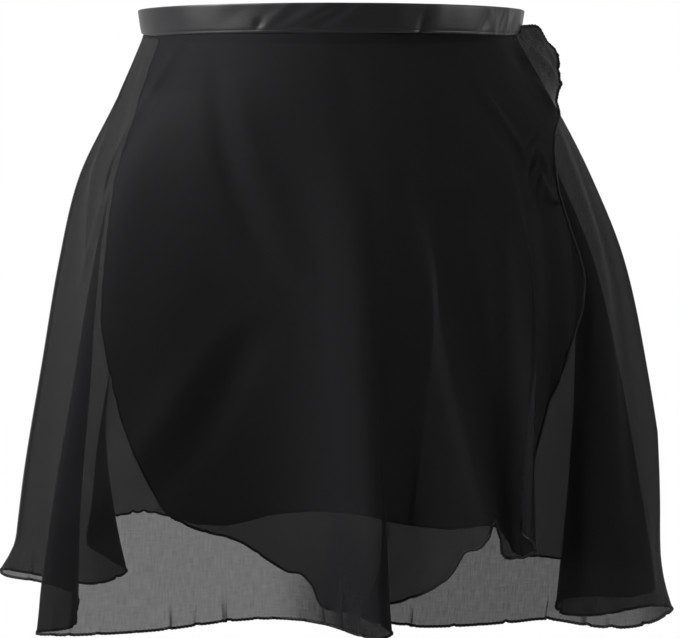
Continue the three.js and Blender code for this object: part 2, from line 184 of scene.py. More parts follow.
# Turns of the hem seen from above in mm: the wind is where on the waist the cloth hangs from
HEM_TURNS = table(
    "wind x y",
    (-60, -150, -84), (-45, -120, -97), (-25, -65, -92), (-13, -31, -91), (-8, -17, -94), (0, 4, -102),
    (12, 34, -107), (20, 52, -114), (33, 83, -111), (47, 110, -104), (55, 129, -99), (66, 157, -114),
    (75, 178, -114), (82, 197, -98), (90, 213, -74), (95, 195, -72), (101, 161, -90), (105, 140, -88),
    (109, 139, -64), (113, 155, -50), (119, 188, -50), (124, 206, -30), (129, 203, 2), (135, 186, 22),
    (143, 149, 42), (148, 127, 52), (155, 124, 90), (162, 116, 132), (168, 87, 122), (175, 48, 140),
    (182, 14, 171), (191, -37, 173), (200, -77, 136), (206, -99, 138), (215, -144, 174), (223, -175, 138),
    (234, -172, 80), (243, -150, 36), (248, -137, 6), (254, -153, -22), (261, -181, -8), (267, -205, 9),
    (270, -212, 12), (274, -209, -3), (281, -186, -20), (288, -162, -46), (295, -156, -86),
    (300, -153, -112), (304, -161, -120), (307, -173, -124), (310, -170, -129), (316, -147, -130),
    (326, -103, -121), (335, -65, -104), (342, -41, -98), (350, -19, -101), (355, 0, -113),
    (360, 15, -132), (364, 28, -142), (367, 34, -136), (371, 20, -127), (374, 9, -119), (378, 22, -117),
    (386, 57, -125), (392, 82, -132), (395, 91, -132), (397.5, 100, -126), (400, 113, -130),
    (402.5, 122, -130), (404.7, 109, -123), (407, 113, -118), (411, 110, -114), (417, 130, -115),
    (430, 182, -100), (450, 219, -40),
)

# How late the hem's turns come in on the way down, sideways and in depth: lower where the flutes start high
FOLD_GROWTH = table(
    "wind across deep",
    (-60, 0.8, 0.8), (-45, 0.9, 0.9), (-25, 1.15, 1.15), (70, 1.15, 1.15), (80, 1.15, 1.15),
    (95, 0.85, 0.8), (101, 1.1, 0.8), (112, 1.1, 0.8), (120, 0.65, 0.8), (130, 0.7, 0.8),
    (150, 1.05, 1.05), (215, 1.05, 1.05), (234, 1.2, 1), (243, 2, 0.9), (252, 2, 0.8), (262, 0.8, 0.75),
    (266, 0.8, 0.75), (310, 0.8, 0.75), (330, 1.1, 1.1), (364, 1.15, 1.15), (366.5, 1.2, 1.15),
    (369, 2.8, 1.15), (371.5, 5, 1.15), (374, 6, 1.15), (377, 4.5, 1.15), (380, 2.4, 1.15),
    (383, 1.35, 1.15), (386, 1.15, 1.15), (392, 1.15, 1.15), (450, 1.15, 1.15),
)

# How far down each front panel reaches, from its free edge to where the sweep joins the hem
OVER_SWEEP = table(
    "wind reach",
    (417, 0.47), (414, 0.55), (411, 0.65), (408, 0.78), (404.5, 0.838), (401, 0.865), (398, 0.878),
    (396.6, 0.865), (395.6, 0.82), (394.8, 0.81), (393.9, 0.84), (392, 0.857), (390, 0.864),
    (388.6, 0.895), (387, 0.918), (381.7, 0.952), (376, 0.962), (369, 0.982), (365, 0.995), (356, 1),
)
UNDER_SWEEP = table(
    "wind reach",
    (-60, 0.5), (-57.2, 0.553), (-53.6, 0.609), (-49.5, 0.667), (-44.8, 0.725), (-40.5, 0.778),
    (-37.3, 0.816), (-33.5, 0.835), (-29.7, 0.848), (-21.3, 0.868), (-16.3, 0.896), (-11.1, 0.922),
    (-8.6, 0.923), (-6.9, 0.934), (-5.6, 0.948), (-5, 0.962), (-3.9, 0.978), (-1.4, 0.982), (2.6, 0.984),
    (8, 1),
)

# How far each front panel's free edge swings round the waist from its own wind, in degrees
OVER_EDGE = table(
    "drop swing",
    (0, 31), (0.06, 20), (0.12, 11.5), (0.2, 4), (0.27, 2), (0.32, 2.7), (0.37, 4), (0.42, 4.8),
    (0.47, 3.8), (0.54, 3.4), (0.6, 3), (0.66, 0.6), (0.72, 0),
)
UNDER_EDGE = table("drop swing", (0, -1.5), (0.3, 0))

# The free top corner of the outer wrap stands off the hip as a small ruffle
CORNER_RUFFLE = table(
    "drop out",
    (0, 22), (0.025, 19), (0.06, 13.5), (0.1, 7.5), (0.13, 4.5), (0.18, 1), (0.24, 0),
)
CORNER_TOP = table(
    "near lift",
    (0, 0), (0.2, 2), (0.3, 5), (0.4, 6.2), (0.5, 6.6), (0.6, 7.2), (0.7, 7), (0.78, 4.5), (0.85, -0.8),
    (0.93, -4), (1, -6.5),
)

# Where the cloth is bunched, so its yarns lie closer together, or lies smooth, where more is below 0. At the
# centre flute's tail the cloth is bunched, and its extra cover there is also painted shade
GATHERS_AND_PAINTED_SHADE = {
    "under_wrap": table("wind drop across down more", (84, 1, 5, 0.2, 0.5)),
    "back_panel": table("wind drop across down more", (104, 1, 6, 0.2, 0.4), (250, 1, 6, 0.2, 0.4)),
    "over_wrap": table(
        "wind drop across down more",
        # the row at wind 361 is partly painted shade: the flute is bunched there, and its extra cover also
        # darkens it for the shade at its tail
        (414, 0.02, 8, 0.11, 1.3), (416.5, 0.15, 2.5, 0.04, -0.6), (361, 1, 9, 0.14, 1.4),
        (303, 1, 5, 0.2, 0.5),
    ),
}

# The side folds draw in a little above the hem and kick out at it: mm outwards at each side
KICK_REACH = 9
KICK = table(
    "drop left right",
    (0.7, 0, 0), (0.8, 0, -4), (0.9, 0, -9), (0.94, 0.5, -9), (0.97, 4, -7.5), (1, 9, -5),
)

# The main creases of each panel: a soft ridge, or a trough where the depth is below 0, from place to place.
# Width is in degrees of wind and depth in mm. Each fades to both ends, or where full is 1 only to its start
CREASES = {
    "under_wrap": table(
        "wind drop to_wind to_drop width depth full",
        (-52, 0.04, -58, 0.5, 3.5, 1.6, 0), (-40, 0.02, -33, 0.34, 4, -1.4, 0),
        (-18, 0.05, -10, 0.6, 5, -1.5, 0), (8, 0.02, 14, 0.4, 4, -1.2, 0),
        (24, 0.08, 20, 0.75, 5, 1.4, 0), (41, 0.03, 50, 0.5, 4, -1.5, 0),
        (58, 0.0, 63, 0.7, 3.5, -1.8, 0), (70, 0.05, 73, 0.5, 3, 1.4, 0),
        (78, 0.15, 76, 0.95, 2.5, -2, 0), (-36, 0.5, -24, 0.8, 3, 1.2, 0),
    ),
    "back_panel": table(
        "wind drop to_wind to_drop width depth full",
        (97, 0.0, 101, 0.5, 2.5, -2, 0), (108, 0.02, 104, 0.35, 3, 1.6, 0),
        (118, 0.03, 122, 0.7, 3.5, 1.8, 0), (134, 0.0, 139, 0.42, 4, -1.8, 0),
        (147, 0.06, 150, 0.9, 3, -2.2, 0), (158, 0.0, 155, 0.3, 3, 1.4, 0),
        (169, 0.02, 165, 0.55, 4, -1.6, 0), (181, 0.0, 186, 0.26, 3, -1.5, 0),
        (189, 0.1, 194, 0.8, 4.5, 2, 0), (204, 0.0, 199, 0.48, 3.5, -2, 0),
        (213, 0.02, 218, 0.32, 3, 1.5, 0), (226, 0.04, 223, 0.75, 4, -2, 0),
        (238, 0.0, 241, 0.4, 3, 1.7, 0), (247, 0.03, 251, 0.6, 3, -1.8, 0),
        (259, 0.0, 257, 0.45, 2.5, 1.6, 0), (176, 0.55, 179, 0.95, 3, -1.7, 0),
        (232, 0.6, 236, 0.97, 3, 1.5, 0), (121, 0.6, 117, 0.96, 2.5, -1.8, 0),
    ),
    "over_wrap": table(
        "wind drop to_wind to_drop width depth full",
        (276, 0.0, 280, 0.4, 2.5, -1.6, 0), (283, 0.02, 289, 0.62, 2.6, 2.4, 0),
        (291, 0.0, 297, 0.5, 2.6, -2, 0), (312, 0.0, 281, 0.5, 1.5, 2, 0),
        (317, 0.0, 290, 0.42, 2.4, -1.4, 0), (301, 0.2, 303, 0.6, 2.8, 2, 0),
        (326, 0.03, 347, 0.42, 3.4, -2.2, 0), (334, 0.06, 353, 0.4, 4, 1.6, 0),
        (343, 0.48, 320, 0.86, 4, -2.8, 0), (337, 0.46, 314, 0.84, 4, 2, 0),
        (363, 0.02, 368, 0.44, 4, -1.3, 0), (378.5, 0.3, 397.5, 0.94, 2, 4.5, 0),
        (388, 0.26, 405, 0.96, 5.5, -8, 0), (399, 0.085, 416.5, 0.29, 1.3, 3.4, 1),
        (403, 0.1, 417, 0.25, 2.2, -1, 0), (392, 0.02, 402, 0.2, 2.5, -1, 0),
        (421, 0.0, 430, 0.12, 2, -2.6, 0), (431, 0.0, 437, 0.17, 1.6, 2.4, 0),
        (439, 0.0, 441, 0.14, 1.4, -1.8, 0), (426, 0.05, 427, 0.22, 1.6, 2.4, 0),
        (413, 0.1, 417, 0.24, 1.3, 1.8, 0),
    ),
}

# Density is how many layers' worth of yarn the panel shows where it hangs plain; the under wrap's density
# above one is painted shade that darkens the dimmer right side. The cut and area are flat
Panel = namedtuple("Panel", "name start end edge swing sweep columns rows cut area density")
PANELS = (
    # the under wrap's density of 1.25 is painted shade: it makes the dimmer right side darker
    Panel("under_wrap", -60, 90, -60, UNDER_EDGE, UNDER_SWEEP, 330, 100, (0.58, 0.35), 0.115, 1.25),
    Panel("back_panel", 90, 270, None, None, None, 480, 100, (1.02, 0.36), 0.224, 1.05),
    Panel("over_wrap", 270, 417, 417, OVER_EDGE, OVER_SWEEP, 320, 150, (0.74, 0.36), 0.147, 1),
)


def along(rows, place, column, at):
    """Values of one column of a table at places between its rows, on a smooth curve through them."""
    ordered = sorted(rows, key=lambda row: row[place])
    x = np.array([row[place] for row in ordered], float)
    y = np.array([row[column] for row in ordered], float)
    index = np.arange(len(x))
    after, before = np.minimum(index + 1, len(x) - 1), np.maximum(index - 1, 0)
    slope = (y[after] - y[before]) / (x[after] - x[before])
    at = np.clip(at, x[0], x[-1])
    i = np.clip(np.searchsorted(x, at) - 1, 0, len(x) - 2)
    step = x[i + 1] - x[i]
    s = (at - x[i]) / step
    rise = s * s * (3 - 2 * s)
    leave, arrive = s * (1 - s) ** 2 * step, s * s * (s - 1) * step
    return y[i] * (1 - rise) + y[i + 1] * rise + slope[i] * leave + slope[i + 1] * arrive


def form_point(wind, drop, lap):
    """x and y of the plain worn form, moved out by a lap for what lies under it."""
    angle = np.radians(wind)
    right, left, front, back = (along(FORM, "drop", way, drop) for way in ("right", "left", "front", "back"))
    half_width = np.where(np.sin(angle) > 0, right, left)
    half_depth = np.where(np.cos(angle) > 0, front, back)
    return (half_width + lap) * np.sin(angle), -(half_depth + lap) * np.cos(angle)


def layer(wind):
    """How far out the wrap lies: 0 on the under wrap, 1 on the over wrap, rising round the back."""
    return np.clip((wind - RIGHT_SEAM) / (LEFT_SEAM - RIGHT_SEAM), 0, 1)


def wrap_point(wind, drop):
    """Points of the wrap in mm: the plain form, with the hem's turns coming in on the way down."""
    x, y = form_point(wind, drop, (WAIST_LAP + (HEM_LAP - WAIST_LAP) * drop) * layer(wind))
    hem_x, hem_y = form_point(wind, np.ones_like(drop), HEM_LAP * layer(wind))
    below = np.clip((drop - FOLD_START) / (1 - FOLD_START), 0, None)
    across, deep = (along(FOLD_GROWTH, "wind", way, wind) for way in ("across", "deep"))
    x = x + below**across * (along(HEM_TURNS, "wind", "x", wind) - hem_x)
    y = y + below**deep * (along(HEM_TURNS, "wind", "y", wind) - hem_y)
    for side, seam in (("right", RIGHT_SEAM), ("left", LEFT_SEAM)):
        out = along(KICK, "drop", side, drop) * np.clip(1 - abs(wind - seam) / KICK_REACH, 0, None)
        x = x + out * np.sin(np.radians(wind))
        y = y - out * np.cos(np.radians(wind))
    return np.stack([x, y, TOP + (HEM_LEVEL - TOP) * drop], -1)


def skewed(panel, wind, drop):
    """The slant of a panel's lines beside its free edge, which swings round the waist on the way down."""
    if panel.edge is None:
        return wind
    near = np.clip(1 - abs(wind - panel.edge) / SKEW_REACH, 0, None)
    return wind + along(panel.swing, "drop", "swing", drop) * near**2


def panel_point(panel, line, drop):
    """Points of a panel in mm. The over wrap's top corner is ruffled."""
    wind = skewed(panel, line, drop)
    point = wrap_point(wind, drop)
    if panel.name != "over_wrap":
        return point
    edge_wind = skewed(panel, np.full_like(wind, panel.edge), drop)
    near = np.clip(1 - (edge_wind - wind) / CORNER_REACH, 0, None)
    point[..., 0] += along(CORNER_RUFFLE, "drop", "out", drop) * near**2
    point[..., 2] += along(CORNER_TOP, "near", "lift", near) * np.clip(1 - drop / CORNER_LIFT_DROP, 0, 1)
    return point


def reach_of(panel, line):
    """How far down the panel each of its lines reaches, as a drop."""
    return along(panel.sweep, "wind", "reach", line) if panel.sweep else np.ones_like(line)


def small_pleats(length, pleats, seed):
    """Small pleats along an edge, in mm, uneven in spacing, depth, width and height."""
    chance = np.random.default_rng(seed)
    rows = []
    at = chance.uniform(*pleats.spacing) / 2
    while at < length:
        rows.append({
            "at": at,
            "depth": chance.uniform(*pleats.depth) * chance.choice(PLEAT_WAYS),
            "width": chance.uniform(*PLEAT_WIDTH),
            "height": chance.uniform(*pleats.height),
            "lean": chance.uniform(*PLEAT_LEAN),
        })
        at += chance.uniform(*pleats.spacing)
    return rows


def pleat_swell(rows, arc, distance):
    """How far the small pleats move the cloth out and along its edge, in mm."""
    out, lean = np.zeros_like(arc), np.zeros_like(arc)
    for row in rows:
        across, away = (arc - row["at"]) / row["width"], distance / row["height"]
        swell = row["depth"] * np.exp(-(across**2) - away**2)
        out += swell
        lean += row["lean"] * swell
    return out, lean


def hem_pleats(panel, length):
    """The panel's own small pleats along its hem."""
    return small_pleats(length, HEM_PLEATS, len(panel.name))


def spread(places, steps, need, count):
    """Places spaced over a run in the given steps, closer together where more are needed."""
    total = np.concatenate([[0], np.cumsum((need[1:] + need[:-1]) / 2 * steps)])
    return np.interp(np.linspace(0, total[-1], count + 1), total, places)


def even_winds(panel):
    """Winds spaced along the hem, closer together at the small pleats."""
    fine = np.linspace(panel.start, panel.end, SAMPLES_ALONG)
    hem = wrap_point(fine, np.ones_like(fine))
    length = np.concatenate([[0], np.cumsum(np.linalg.norm(np.diff(hem, axis=0), axis=1))])
    need = np.ones_like(length)
    for row in hem_pleats(panel, length[-1]):
        need += AT_PLEATS * np.exp(-(((length - row["at"]) / (PLEAT_SPAN * row["width"])) ** 2))
    return spread(fine, np.diff(length), need, panel.columns)


def even_downs(panel):
    """Places down the panel from 0 to 1, closer together at the hem and where the front edge is puckered."""
    fine = np.linspace(0, 1, SAMPLES_DOWN)
    need = 1 + AT_HEM * np.exp(-(((fine - 1) / NEAR_HEM) ** 2))
    if panel.name == "over_wrap":
        need += AT_PUCKERS * np.exp(-(((fine - PUCKER_DROP) / PUCKER_SPAN) ** 4))
    return spread(fine, 1, need, panel.rows)


def grid_normals(points):
    """Outward directions of a grid of points that runs with the wind, then down."""
    across = np.gradient(points, axis=0)
    down = np.gradient(points, axis=1)
    out = np.cross(down, across)
    return out / np.linalg.norm(out, axis=-1, keepdims=True)


def crease_height(rows, wind, drop):
    """How far the creases move the cloth out, in mm."""
    height = np.zeros_like(wind)
    for row in rows:
        t = np.clip((drop - row["drop"]) / (row["to_drop"] - row["drop"]), 0, 1)
        middle = row["wind"] + (row["to_wind"] - row["wind"]) * t
        fade = np.sin(np.pi * t / 2) * (t < 1) if row["full"] else np.sin(np.pi * t)
        ridge = row["depth"] * np.exp(-(((wind - middle) / row["width"]) ** 2))
        height += ridge * np.clip(fade, 0, None) ** CREASE_FADE
    return height


def bunching_and_painted_shade(panel, line, drop):
    """How much more yarn there is in the cloth's width than where it hangs plain, with painted shade added
    at the centre flute's tail.
    """
    more = np.ones_like(line)
    for row in GATHERS_AND_PAINTED_SHADE[panel.name]:
        across, down = (line - row["wind"]) / row["across"], (drop - row["drop"]) / row["down"]
        more += row["more"] * np.exp(-(across**2) - down**2)
    return more


def seam_layers(panel, arc):
    """The layers that the seam allowances add beside the side seams."""
    sides = [side for side, wind in ((0, panel.start), (-1, panel.end)) if wind in (RIGHT_SEAM, LEFT_SEAM)]
    to_seam = [np.abs(arc - arc[side][None]) for side in sides]
    return SEAM_LAYERS * np.exp(-((np.min(to_seam, axis=0) / SEAM_ALLOWANCE) ** 6))


def run_length(points, axis):
    """Length along one way of a grid of points, from its start."""
    steps = np.linalg.norm(np.diff(points, axis=axis), axis=-1)
    return np.concatenate([np.zeros_like(steps.take([0], axis)), np.cumsum(steps, axis)], axis)


def tuck_into_ribbon(points, wind, up):
    """Leans the cloth's top as the ribbon does and bends it in. Up is its height above the ribbon's edge."""
    out = RIBBON_FLARE * up / RIBBON_HEIGHT - TUCK_IN * (1 - np.exp(-up / TUCK_BEND))
    points[..., 0] += out * np.sin(np.radians(wind))
    points[..., 1] -= out * np.cos(np.radians(wind))


def crease_and_pucker_hem(panel, points, normals, hem_arc, height):
    """The points moved out by the creases' height and by the small pleats along the hem."""
    across = np.gradient(points, axis=0)
    across /= np.linalg.norm(across, axis=-1, keepdims=True)
    from_hem = run_length(points, 1)
    from_hem = from_hem[:, -1:] - from_hem
    out, lean = pleat_swell(hem_pleats(panel, hem_arc[-1, 0]), hem_arc, from_hem)
    points = points + normals * (height + out)[..., None] + across * lean[..., None]
    points[..., 2] += PLEAT_LIFT * abs(out)
    return points


def pucker_front_edge(panel, points, normals, arc):
    """The points moved by the small pleats along the panel's free front edge."""
    side = 0 if panel.name == "under_wrap" else -1
    edge_down = np.repeat(run_length(points, 1)[side][None], len(points), 0)
    pleats = small_pleats(edge_down[0, -1], EDGE_PLEATS, EDGE_SEED)
    out, lean = pleat_swell(pleats, edge_down, abs(arc - arc[side][None]))
    points = points + normals * out[..., None]
    points[..., 2] -= lean
    return points


def cover_of(panel, line, drop, wind, arc, normals):
    """Share of light that each face stops: more where the cloth is bunched, seamed or turned from plain, and
    where painted shade is added on the under wrap and at the centre flute's tail.
    """
    step = np.stack(form_point(wind + FACING_STEP, drop, 0), -1) - np.stack(
        form_point(wind - FACING_STEP, drop, 0), -1
    )
    plain = np.stack([step[..., 1], -step[..., 0]], -1) / np.linalg.norm(step, axis=-1, keepdims=True)
    level = normals[..., :2] / np.linalg.norm(normals[..., :2], axis=-1, keepdims=True)
    facing = np.maximum(abs((level * plain).sum(-1)), abs(level[..., 1])) / PLAIN_FACING
    cloth = bpy.context.scene.skirt_cloth
    layers = panel.density * bunching_and_painted_shade(panel, line, drop) + seam_layers(panel, arc)
    return 1 - (1 - cloth.cover) ** (layers / np.clip(facing, cloth.least_facing, 1))


def panel_grid(panel):
    """The panel's middle surface in metres, its normals, its flat coordinates in metres and its cover."""
    winds = even_winds(panel)
    long = TOP - HEM_LEVEL
    downs = even_downs(panel) * (1 + TOP_TUCK / long) - TOP_TUCK / long
    line = np.repeat(winds[:, None], len(downs), 1)
    drop = np.repeat(downs[None], len(winds), 0) * reach_of(panel, line)
    if panel.name == "over_wrap":
        near = np.clip(1 - (panel.end - line) / CORNER_REACH, 0, 1)
        drop = np.where(drop < 0, drop * (1 - (1 - CORNER_TUCK) * near), drop)
    points = panel_point(panel, line, drop)
    wind = skewed(panel, line, drop)
    tuck_into_ribbon(points, wind, np.clip(-drop, 0, None) * long)
    normals = grid_normals(points)
    arc = run_length(points, 0)
    hem_arc = np.repeat(arc[:, -1:], len(downs), 1)
    height = crease_height(CREASES[panel.name], wind, drop)
    points = crease_and_pucker_hem(panel, points, normals, hem_arc, height)
    if panel.swing:
        points = pucker_front_edge(panel, points, normals, arc)
    normals = grid_normals(points)
    flat = np.stack([hem_arc, -drop * long], -1)
    return points * MM, normals, flat * MM, cover_of(panel, line, drop, wind, arc, normals)


def new_piece(name, verts, faces, material, flat, cover=None):
    """A mesh object at the origin with one material, its flat coordinates and, where given, its cover."""
    mesh = bpy.data.meshes.new(name)
    mesh.from_pydata([tuple(v) for v in verts], [], faces)
    mesh.update()
    loops = np.empty(len(mesh.loops), int)
    mesh.loops.foreach_get("vertex_index", loops)
    mesh.uv_layers.new(name="cloth").data.foreach_set("uv", flat[loops].ravel())
    if cover is not None:
        mesh.attributes.new("cover", "FLOAT", "POINT").data.foreach_set("value", cover)
    mesh.materials.append(material)
    mesh.shade_smooth()
    piece = bpy.data.objects.new(name, mesh)
    bpy.context.collection.objects.link(piece)
    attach(piece, "root")
    return piece


def grid_faces(columns, rows):
    """Faces of a grid whose points run down each column in turn."""
    faces = []
    for i in range(columns - 1):
        for j in range(rows - 1):
            here, beside = i * rows + j, (i + 1) * rows + j
            faces.append((here, here + 1, beside + 1, beside))
    return faces


def thicken(piece, thickness):
    """Gives a sheet its thickness, half to each side, and applies it."""
    solid = piece.modifiers.new("cloth thickness", "SOLIDIFY")
    solid.thickness = thickness
    solid.offset = 0
    bpy.context.view_layer.objects.active = piece
    bpy.ops.object.modifier_apply(modifier=solid.name)


def loft(name, rings, material):
    """A closed skin through rings of points, with flat coordinates along and round it."""
    count, sides = rings.shape[:2]
    verts = rings.reshape(-1, 3)
    faces = []
    for i in range(count - 1):
        for j in range(sides):
            k = (j + 1) % sides
            faces.append((i * sides + j, i * sides + k, (i + 1) * sides + k, (i + 1) * sides + j))
    faces.append(tuple(range(sides))[::-1])
    faces.append(tuple((count - 1) * sides + j for j in range(sides)))
    middle = rings.mean(axis=1)
    run = np.concatenate([[0], np.cumsum(np.linalg.norm(np.diff(middle, axis=0), axis=1))])
    girth = np.linalg.norm(np.diff(rings[count // 2], axis=0, append=rings[count // 2][:1]), axis=1)
    round_it = np.concatenate([[0], np.cumsum(girth)[:-1]])
    flat = np.stack(np.meshgrid(run, round_it, indexing="ij"), -1).reshape(-1, 2)
    piece = new_piece(name, verts, faces, material, flat)
    recalculate_outside(piece)
    return piece


def recalculate_outside(piece):
    """Turns the piece's faces outwards."""
    shape = bmesh.new()
    shape.from_mesh(piece.data)
    bmesh.ops.recalc_face_normals(shape, faces=shape.faces)
    shape.to_mesh(piece.data)
    shape.free()


def linear(hex_colour):
    """An sRGB hex colour as linear red, green, blue and alpha."""
    channels = [((hex_colour >> shift) & 255) / 255 for shift in (16, 8, 0)]
    return tuple(c / 12.92 if c <= 0.04045 else ((c + 0.055) / 1.055) ** 2.4 for c in channels) + (1.0,)


def add_node(tree, kind, settings=None, links=None):
    """Adds a node, sets its properties and its sockets by name or number, and links its inputs."""
    node = tree.nodes.new(kind)
    for key, value in (settings or {}).items():
        if isinstance(key, str) and hasattr(node, key):
            setattr(node, key, value)
        else:
            node.inputs[key].default_value = value
    for key, source in (links or {}).items():
        tree.links.new(source, node.inputs[key])
    return node


def new_material(name):
    """An empty material and its node tree."""
    material = bpy.data.materials.new(name)
    material.use_nodes = True
    material.node_tree.nodes.clear()
    return material, material.node_tree


def chiffon_material(cloth):
    """Black polyester chiffon: a loose plain weave of crepe-twisted yarn, sheer, dull and faintly grainy."""
    material, tree = new_material("black polyester chiffon")
    flat = add_node(tree, "ShaderNodeUVMap", {"uv_map": "cloth"})
    # Yarns every 0.25 mm are too fine to show, so slubs of both are drawn 0.9 mm across and 9 mm long
    across, along_it = 1 / 0.0009, 1 / 0.009
    threads = []
    for scale in ((across, along_it, 1), (along_it, across, 1)):
        stretch = add_node(tree, "ShaderNodeMapping", {"Scale": scale}, {"Vector": flat.outputs["UV"]})
        threads.append(add_node(
            tree, "ShaderNodeTexNoise", {"Scale": 1.0, "Detail": 2.0}, {"Vector": stretch.outputs["Vector"]}
        ))
    warp, weft = threads
    weft_share = add_node(
        tree, "ShaderNodeMath", {"operation": "MULTIPLY", 1: 0.4}, {0: weft.outputs["Fac"]}
    )
    slubs = add_node(
        tree, "ShaderNodeMath", {"operation": "MULTIPLY_ADD", 1: 0.6},
        {0: warp.outputs["Fac"], 2: weft_share.outputs["Value"]},
    )
    bump = add_node(
        tree, "ShaderNodeBump", {"Strength": 0.15, "Distance": 0.0002}, {"Height": slubs.outputs["Value"]}
    )
    # The yarns lie closer together where the cloth is gathered into folds, and vary a little all over. The
    # cover also carries painted shade on the under wrap and at the centre flute's tail
    cover = add_node(tree, "ShaderNodeAttribute", {"attribute_name": "cover"})
    uneven = add_node(
        tree,
        "ShaderNodeMapRange",
        {"From Min": 0.3, "From Max": 0.7, "To Min": 1 - cloth.unevenness, "To Max": 1 + cloth.unevenness},
        {"Value": slubs.outputs["Value"]},
    )
    stopped = add_node(
        tree, "ShaderNodeMath", {"operation": "MULTIPLY", "use_clamp": True},
        {0: cover.outputs["Fac"], 1: uneven.outputs["Result"]},
    )
    shader = add_node(
        tree,
        "ShaderNodeBsdfPrincipled",
        {
            "Base Color": linear(cloth.colour_hex),
            "Roughness": 0.72,
            "Specular IOR Level": 0.25,
            "Sheen Weight": 0.04,
            "Sheen Roughness": 0.5,
        },
        {"Normal": bump.outputs["Normal"], "Alpha": stopped.outputs["Value"]},
    )
    add_node(tree, "ShaderNodeOutputMaterial", None, {"Surface": shader.outputs["BSDF"]})
    return material


def thread_material(cloth):
    """Black overlock thread: tightly wound polyester filament, opaque and slightly glossy."""
    material, tree = new_material("black overlock thread")
    shader = add_node(
        tree,
        "ShaderNodeBsdfPrincipled",
        {"Base Color": linear(cloth.thread_hex), "Roughness": 0.55, "Specular IOR Level": 0.4},
    )
    add_node(tree, "ShaderNodeOutputMaterial", None, {"Surface": shader.outputs["BSDF"]})
    return material


def satin_material(ribbon):
    """Black polyester satin ribbon: long floats along its length give a broad soft sheen."""
    material, tree = new_material("black satin ribbon")
    flat = add_node(tree, "ShaderNodeUVMap", {"uv_map": "cloth"})
    # Threads every 0.1 mm are too fine to show, so their streaks are drawn 0.4 mm across and 17 mm long
    stretch = add_node(tree, "ShaderNodeMapping", {"Scale": (60, 2500, 1)}, {"Vector": flat.outputs["UV"]})
    floats = add_node(
        tree, "ShaderNodeTexNoise", {"Scale": 1.0, "Detail": 3.0}, {"Vector": stretch.outputs["Vector"]}
    )
    bump = add_node(
        tree, "ShaderNodeBump", {"Strength": 0.25, "Distance": 0.0002}, {"Height": floats.outputs["Fac"]}
    )
    shader = add_node(
        tree,
        "ShaderNodeBsdfPrincipled",
        {
            "Base Color": linear(ribbon.colour_hex),
            "Roughness": 0.38,
            "Specular IOR Level": 1.0,
            "Sheen Weight": 0.05,
        },
        {"Normal": bump.outputs["Normal"]},
    )
    add_node(tree, "ShaderNodeOutputMaterial", None, {"Surface": shader.outputs["BSDF"]})
    return material


def studio_world():
    """A bright white wall behind the skirt and a dark room in front of it. The camera sees it all white."""
    world = bpy.data.worlds.new("white studio")
    world.use_nodes = True
    tree = world.node_tree
    tree.nodes.clear()
    seen = add_node(tree, "ShaderNodeLightPath")
    way = add_node(tree, "ShaderNodeTexCoord")
    parts = add_node(tree, "ShaderNodeSeparateXYZ", None, {"Vector": way.outputs["Generated"]})
    glow = add_node(
        tree, "ShaderNodeMapRange", {"From Min": -0.3, "From Max": 0.7, "To Min": 0.08, "To Max": 0.6},
        {"Value": parts.outputs["Y"]},
    )
    soft = add_node(tree, "ShaderNodeBackground", {"Color": WHITE}, {"Strength": glow.outputs["Result"]})
    white = add_node(tree, "ShaderNodeBackground", {"Color": WHITE, "Strength": 1.0})
    mix = add_node(
        tree, "ShaderNodeMixShader", None,
        {0: seen.outputs["Is Camera Ray"], 1: soft.outputs["Background"], 2: white.outputs["Background"]},
    )
    add_node(tree, "ShaderNodeOutputWorld", None, {"Surface": mix.outputs["Shader"]})
    return world


def material_once(name, make, settings):
    """The material of that name, made if it isn't there yet."""
    return bpy.data.materials.get(name) or make(settings)


def rope_rings(path, normals, radius, pitch):
    """Rings of a roll along a path, all in metres, with ridges that wind round it as its stitches do."""
    length = np.concatenate([[0], np.cumsum(np.linalg.norm(np.diff(path, axis=0), axis=1))])
    steps = int(length[-1] / (pitch / RINGS_A_STITCH)) + 1
    at = np.linspace(0, length[-1], steps)
    centre = np.stack([np.interp(at, length, path[:, k]) for k in range(3)], -1)
    out = np.stack([np.interp(at, length, normals[:, k]) for k in range(3)], -1)
    ahead = np.gradient(centre, axis=0)
    ahead /= np.linalg.norm(ahead, axis=-1, keepdims=True)
    out -= ahead * (out * ahead).sum(-1, keepdims=True)
    out /= np.linalg.norm(out, axis=-1, keepdims=True)
    side = np.cross(ahead, out)
    turn = np.linspace(0, 2 * np.pi, ROLL_SIDES, endpoint=False)
    swell = radius + radius * ROLL_RIDGE * np.cos(2 * np.pi * at[:, None] / pitch - turn[None])
    round_it = np.cos(turn)[None, :, None] * out[:, None] + np.sin(turn)[None, :, None] * side[:, None]
    return centre[:, None] + swell[..., None] * round_it


# Each panel's finished middle surface and its normals, for its hem
GRIDS = {}


def free_edge(panel):
    """The path of a panel's free edge: its loose top and its front edge, where it has them, and the hem."""
    points, normals = GRIDS[panel.name]
    top = int(np.ceil(TOP_TUCK / (TOP - HEM_LEVEL + TOP_TUCK) * panel.rows)) + 1
    last, low = points.shape[0] - 1, points.shape[1] - 1
    hem = [(i, -1) for i in range(last + 1)]
    if panel.name == "under_wrap":
        picks = [(0, j) for j in range(top, low)] + hem
    elif panel.name == "over_wrap":
        loose = panel.end - CORNER_REACH * (1 - CORNER_HEM_START)
        picks = [(i, 0) for i in np.flatnonzero(even_winds(panel) > loose)]
        picks += [(last, j) for j in range(1, low)] + hem[::-1]
    else:
        picks = hem
    return np.array([points[p] for p in picks]), np.array([normals[p] for p in picks])


# Places up the ribbon's face from its lower edge, -1, to its top, 1: close at its edges and the stitching
RIBBON_FACE = (
    -1, -0.985, -0.94, -0.88, -0.84, -0.8, -0.76, -0.7, -0.55, -0.38, -0.2, 0, 0.2, 0.4, 0.58, 0.74, 0.87,
    0.95, 0.985, 1,
)

